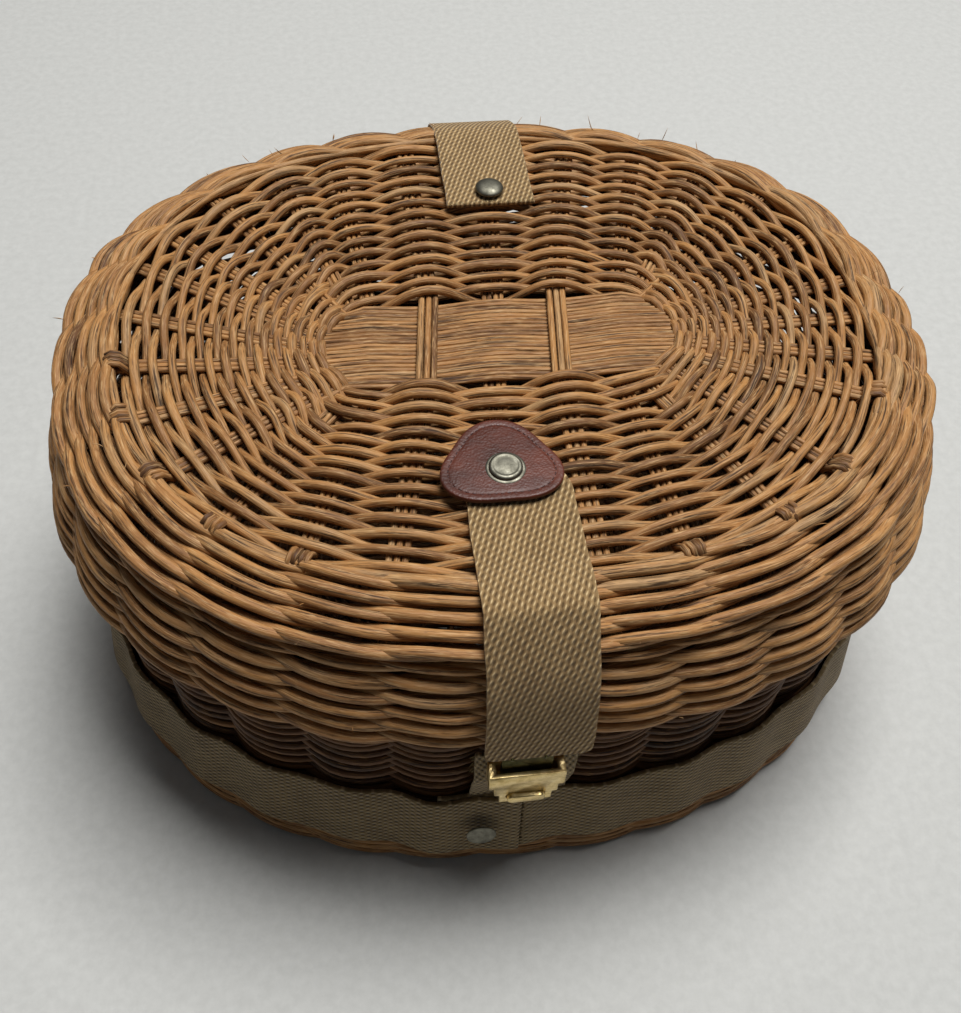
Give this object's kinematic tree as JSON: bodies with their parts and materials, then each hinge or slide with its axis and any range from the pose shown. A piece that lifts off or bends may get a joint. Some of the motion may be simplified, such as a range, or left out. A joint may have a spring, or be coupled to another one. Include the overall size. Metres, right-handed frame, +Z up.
{
  "type": "lidded wicker basket",
  "caption": "Oval woven willow basket with a hinged woven lid, webbing belt and straps, a riveted leather patch and a brass tuck lock.",
  "frame": {"origin": "middle of the basket's oval on the flat underside that it stands on", "axes": "+Z up, +X along the oval's length to the basket's right as seen from the front, the front with the lock faces -Y"},
  "size_m": [0.369, 0.3292, 0.1787],
  "materials": {
    "willow_dark": "stained willow weave, satin",
    "willow": "stained willow rods, satin",
    "strap_webbing": "khaki cotton webbing, matte",
    "belt_webbing": "worn khaki cotton webbing, matte",
    "oxblood_leather": "oxblood leather, soft shine",
    "nickel": "aged nickel plate",
    "brass": "worn lacquered brass",
    "spring_steel": "plain spring steel"
  },
  "bodies": {
    "basket": {"base_mat": "willow_dark", "foot_rod_1": "willow", "foot_rod_2": "willow", "foot_rod_3": "willow", "side_wall": "willow_dark", "rim_rod_thin": "willow", "rim_rod_1": "willow", "rim_rod_2": "willow", "rim_rod_3": "willow", "rim_rod_4": "willow", "rim_rod_5": "willow", "belt": "belt_webbing", "belt_rivet": "nickel", "belt_rivet_burr": "nickel", "hinge_lower_rivet": "nickel", "hinge_lower_rivet_burr": "nickel", "lock_tab": "belt_webbing", "lock_backplate": "brass", "lock_housing": "brass", "button_spring": "spring_steel"},
    "lid": {"lid_panel": "willow", "lid_rod_1": "willow", "lid_rod_2": "willow", "lid_rod_3": "willow", "lid_rod_4": "willow", "lid_rod_5": "willow", "hinge_strap": "strap_webbing", "hinge_rivet": "nickel", "hinge_rivet_burr": "nickel", "strap_top": "strap_webbing", "leather_patch": "oxblood_leather", "patch_rivet": "nickel", "patch_rivet_ring": "nickel", "patch_rivet_burr": "nickel"},
    "strap": {"strap_flap": "strap_webbing", "lock_tongue": "brass"},
    "button": {"lock_button": "brass"}
  },
  "joints": [
    {"name": "lid_hinge", "type": "hinge", "parent": "basket", "child": "lid", "pos_m": [0.006, 0.15395, 0.1526], "axis": [-1, 0, 0], "range_deg": [0, 150], "deforming": ["hinge_strap"]},
    {"name": "strap_swing", "type": "hinge", "parent": "lid", "child": "strap", "pos_m": [-0.0045, -0.153, 0.1526], "axis": [1, 0, 0], "range_deg": [0, 90]},
    {"name": "lock_button_slide", "type": "slide", "parent": "basket", "child": "button", "axis": [0, 1, 0], "range_m": [0, 0.0012], "stiffness_N_per_m": 400, "deforming": ["button_spring"]}
  ],
  "couplings": [
    {"joint": "strap_swing", "follows": "lid_hinge", "ratio": 0.6}
  ]
}
